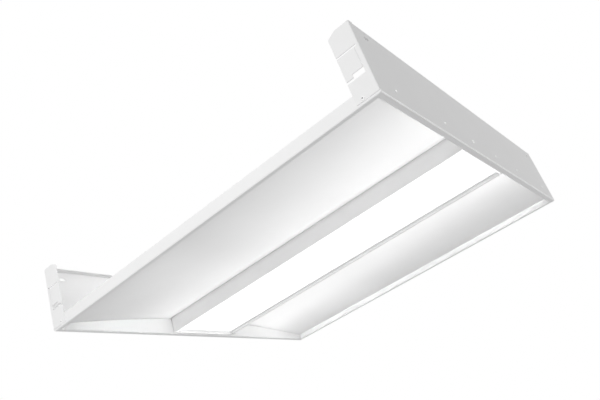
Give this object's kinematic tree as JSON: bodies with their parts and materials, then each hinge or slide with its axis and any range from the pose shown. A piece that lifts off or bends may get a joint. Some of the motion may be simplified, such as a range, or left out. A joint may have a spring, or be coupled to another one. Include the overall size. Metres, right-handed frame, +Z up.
{
  "type": "recessed troffer light",
  "caption": "Square recessed ceiling light with curved reflector wings, a hinged lens basket, tall end plates and bend-out grid clips.",
  "frame": {"origin": "centre of the square light opening, on the plane of the rim flange that rests on the ceiling grid", "axes": "+X along the lens basket, +Y towards the door's hinge side, +Z up into the ceiling"},
  "size_m": [0.6046, 0.6046, 0.1016],
  "materials": {
    "white_enamel": "baked matt white enamel",
    "basket_enamel": "baked matt white enamel",
    "painted_rivet": "painted over with the enamel",
    "steel_rivet": "plain steel",
    "zinc_sheet": "zinc plated sheet",
    "zinc_steel": "zinc plated",
    "green_screw": "green lacquer",
    "spring_steel": "plain spring steel",
    "frosted_lens": "frosted, diffusing",
    "white_board": "white solder mask",
    "led_phosphor": "yellow phosphor",
    "connector_nylon": "moulded",
    "terminal_nylon": "moulded",
    "black_rubber": "soft",
    "driver_enamel": "satin white",
    "circuit_green": "varnished board",
    "lead_black": "wire insulation",
    "lead_white": "wire insulation",
    "lead_green": "wire insulation",
    "lead_red": "wire insulation",
    "lead_blue": "wire insulation"
  },
  "bodies": {
    "housing": {"far_wing": "white_enamel", "near_wing": "white_enamel", "right_trim": "white_enamel", "left_trim": "white_enamel", "right_end_plate": "white_enamel", "left_end_plate": "white_enamel", "spine": "white_enamel", "wiring_cover": "white_enamel", "plate_rivets": "painted_rivet", "tab_rivets": "steel_rivet", "wing_rivets": "steel_rivet", "spine_rivets": "steel_rivet", "bracket_rivets": "steel_rivet", "hinge_brackets": "zinc_sheet", "hinge_pins": "zinc_steel", "board_screws": "zinc_steel", "driver_screws": "zinc_steel", "cover_screws": "zinc_steel", "ground_screw": "green_screw", "catch_springs": "spring_steel", "near_led_board": "white_board", "far_led_board": "white_board", "near_leds": "led_phosphor", "far_leds": "led_phosphor", "board_connectors": "connector_nylon", "terminal_block": "terminal_nylon", "lead_grommet": "black_rubber", "driver_base": "driver_enamel", "driver_cover": "driver_enamel", "driver_circuit": "circuit_green", "live_lead": "lead_black", "neutral_lead": "lead_white", "ground_lead": "lead_green", "led_plus_lead": "lead_red", "led_minus_lead": "lead_blue", "board_jumper": "lead_white"},
    "lens_door": {"near_rail": "basket_enamel", "far_rail": "basket_enamel", "right_basket_end": "basket_enamel", "left_basket_end": "basket_enamel", "basket_corner_angles": "zinc_sheet", "lens": "frosted_lens", "lens_clips": "spring_steel", "hinge_leaves": "zinc_sheet"},
    "far_right_grid_clip": {"far_right_clip": "white_enamel"},
    "near_right_grid_clip": {"near_right_clip": "white_enamel"},
    "far_left_grid_clip": {"far_left_clip": "white_enamel"},
    "near_left_grid_clip": {"near_left_clip": "white_enamel"}
  },
  "joints": [
    {"name": "lens_door_swing", "type": "hinge", "parent": "housing", "child": "lens_door", "pos_m": [0, 0.0685, 0.024], "axis": [1, 0, 0], "range_deg": [0, 80]},
    {"name": "far_right_grid_clip_bend", "type": "hinge", "parent": "housing", "child": "far_right_grid_clip", "pos_m": [0.295, 0.3015, 0.0528], "axis": [0, 0, -1], "range_deg": [0, 90]},
    {"name": "near_right_grid_clip_bend", "type": "hinge", "parent": "housing", "child": "near_right_grid_clip", "pos_m": [0.295, -0.3015, 0.0528], "axis": [0, 0, 1], "range_deg": [0, 90]},
    {"name": "far_left_grid_clip_bend", "type": "hinge", "parent": "housing", "child": "far_left_grid_clip", "pos_m": [-0.295, 0.3015, 0.0528], "axis": [0, 0, 1], "range_deg": [0, 90]},
    {"name": "near_left_grid_clip_bend", "type": "hinge", "parent": "housing", "child": "near_left_grid_clip", "pos_m": [-0.295, -0.3015, 0.0528], "axis": [0, 0, -1], "range_deg": [0, 90]}
  ]
}
